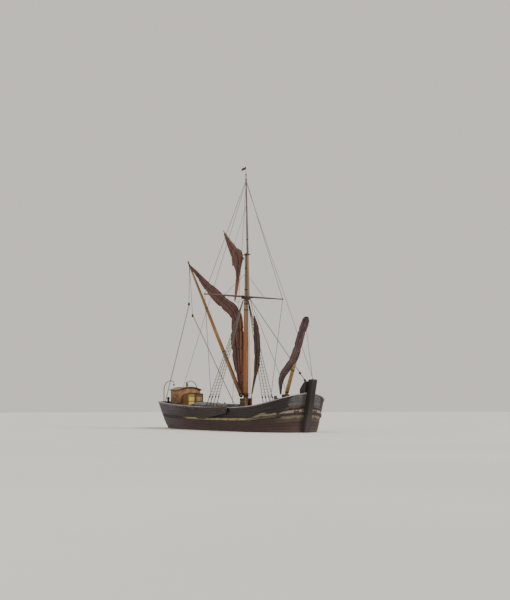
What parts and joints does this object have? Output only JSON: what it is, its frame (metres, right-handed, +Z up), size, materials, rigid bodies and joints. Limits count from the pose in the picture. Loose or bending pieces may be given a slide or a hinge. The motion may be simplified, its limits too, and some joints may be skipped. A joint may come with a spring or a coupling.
{
  "type": "sailing barge",
  "caption": "Weathered flat-bottomed sailing barge with mast, topmast, sprit and topped-up bowsprit, sails brailed and furled, leeboards, and a small cabin aft.",
  "frame": {"origin": "underside of the flat bottom, on the centreline, 11.6 m forward of the after end of the planking at the rail", "axes": "+X towards the bow, +Y to port, +Z up"},
  "size_m": [24.5065, 7.6, 22.104],
  "materials": {
    "tarred_planking": "matt, tarred and worn",
    "deck_planking": "bare and weathered",
    "weathered_rail": "bare and weathered",
    "ochre_wale": "worn paint",
    "dark_oak": "matt",
    "oiled_pine": "oiled",
    "pale_spar": "oiled, greying",
    "tanned_canvas": "tanned canvas",
    "cabin_varnish": "worn varnish",
    "cream_paint": "worn paint",
    "tarred_rope": "tarred rope",
    "rusty_iron": "rusty",
    "hatch_cloth": "tarpaulin over boards"
  },
  "bodies": {
    "hull": {"hull": "tarred_planking", "deck": "deck_planking", "rail_starboard": "weathered_rail", "bulwark_starboard": "tarred_planking", "wale_starboard": "ochre_wale", "rail_port": "weathered_rail", "bulwark_port": "tarred_planking", "wale_port": "ochre_wale", "stem_post": "dark_oak", "transom": "tarred_planking", "sternpost": "dark_oak", "knighthead_starboard": "dark_oak", "knighthead_port": "dark_oak", "wheel_stand": "cabin_varnish", "main_hatch_coaming": "cabin_varnish", "main_hatch_cover": "hatch_cloth", "fore_hatch_coaming": "cabin_varnish", "fore_hatch_cover": "hatch_cloth", "cabin_side_starboard": "cabin_varnish", "cabin_side_port": "cabin_varnish", "cabin_aft_wall": "cabin_varnish", "cabin_front_wall": "cabin_varnish", "cabin_roof": "cabin_varnish", "companion": "cabin_varnish", "stovepipe": "rusty_iron", "mast_case": "dark_oak", "mainmast": "oiled_pine", "topmast": "pale_spar", "mast_cap": "rusty_iron", "trestle": "dark_oak", "crosstree": "pale_spar", "topsail": "tanned_canvas", "foresail": "tanned_canvas", "bowsprit_bitts": "dark_oak", "windlass_bitts": "dark_oak", "main_horse": "dark_oak", "shroud_fore_starboard": "tarred_rope", "shroud_aft_starboard": "tarred_rope", "shroud_fore_port": "tarred_rope", "shroud_aft_port": "tarred_rope", "forestay": "tarred_rope"},
    "rudder": {"rudder": "dark_oak"},
    "wheel": {"steering_wheel": "dark_oak"},
    "door_starboard": {"companion_door_starboard": "cream_paint"},
    "door_port": {"companion_door_port": "cream_paint"},
    "vane": {"masthead_vane": "tarred_rope"},
    "sprit_and_mainsail": {"sprit": "pale_spar", "mainsail": "tanned_canvas"},
    "bowsprit_and_jib": {"bowsprit": "pale_spar", "jib": "tanned_canvas"},
    "windlass": {"windlass_barrel": "dark_oak"},
    "leeboard_starboard": {"leeboard_starboard": "dark_oak"},
    "leeboard_port": {"leeboard_port": "dark_oak"},
    "davit_starboard": {"davit_starboard": "rusty_iron"},
    "davit_port": {"davit_port": "rusty_iron"}
  },
  "joints": [
    {"name": "rudder_swing", "type": "hinge", "parent": "hull", "child": "rudder", "pos_m": [-11.442, 0, 1], "axis": [-0.3093, 0, 0.951], "range_deg": [-36, 36]},
    {"name": "wheel_turn", "type": "hinge", "parent": "hull", "child": "wheel", "pos_m": [-11.04, 0, 2.9], "axis": [1, 0, 0], "range_deg": [-360, 360]},
    {"name": "door_starboard_swing", "type": "hinge", "parent": "hull", "child": "door_starboard", "pos_m": [-7.529, -0.74, 2.5], "axis": [0, 0, -1], "range_deg": [0, 100]},
    {"name": "door_port_swing", "type": "hinge", "parent": "hull", "child": "door_port", "pos_m": [-7.529, 0.74, 2.5], "axis": [0, 0, 1], "range_deg": [0, 100]},
    {"name": "vane_turn", "type": "hinge", "parent": "hull", "child": "vane", "pos_m": [1.72, 0, 21.4], "axis": [0, 0, 1], "continuous": true},
    {"name": "sprit_swing", "type": "hinge", "parent": "hull", "child": "sprit_and_mainsail", "pos_m": [1.75, 0, 2.7], "axis": [0, 0, 1], "range_deg": [-36, 36]},
    {"name": "bowsprit_topping", "type": "hinge", "parent": "hull", "child": "bowsprit_and_jib", "pos_m": [8.95, -0.64, 2.64], "axis": [0, 1, 0], "range_deg": [0, 49]},
    {"name": "windlass_turn", "type": "hinge", "parent": "hull", "child": "windlass", "pos_m": [7.9, 0, 2.1358], "axis": [0, 1, 0], "continuous": true},
    {"name": "leeboard_starboard_drop", "type": "hinge", "parent": "hull", "child": "leeboard_starboard", "pos_m": [3.65, -2.955, 1.65], "axis": [0, -1, 0], "range_deg": [0, 38]},
    {"name": "leeboard_port_drop", "type": "hinge", "parent": "hull", "child": "leeboard_port", "pos_m": [3.65, 2.955, 1.65], "axis": [0, -1, 0], "range_deg": [0, 38]},
    {"name": "davit_starboard_swing", "type": "hinge", "parent": "hull", "child": "davit_starboard", "pos_m": [-10.65, -1.7, 2.2], "axis": [0, 0, 1], "range_deg": [-100, 100]},
    {"name": "davit_port_swing", "type": "hinge", "parent": "hull", "child": "davit_port", "pos_m": [-10.65, 1.7, 2.2], "axis": [0, 0, 1], "range_deg": [-100, 100]}
  ],
  "couplings": [
    {"joint": "wheel_turn", "follows": "rudder_swing", "ratio": 10}
  ]
}
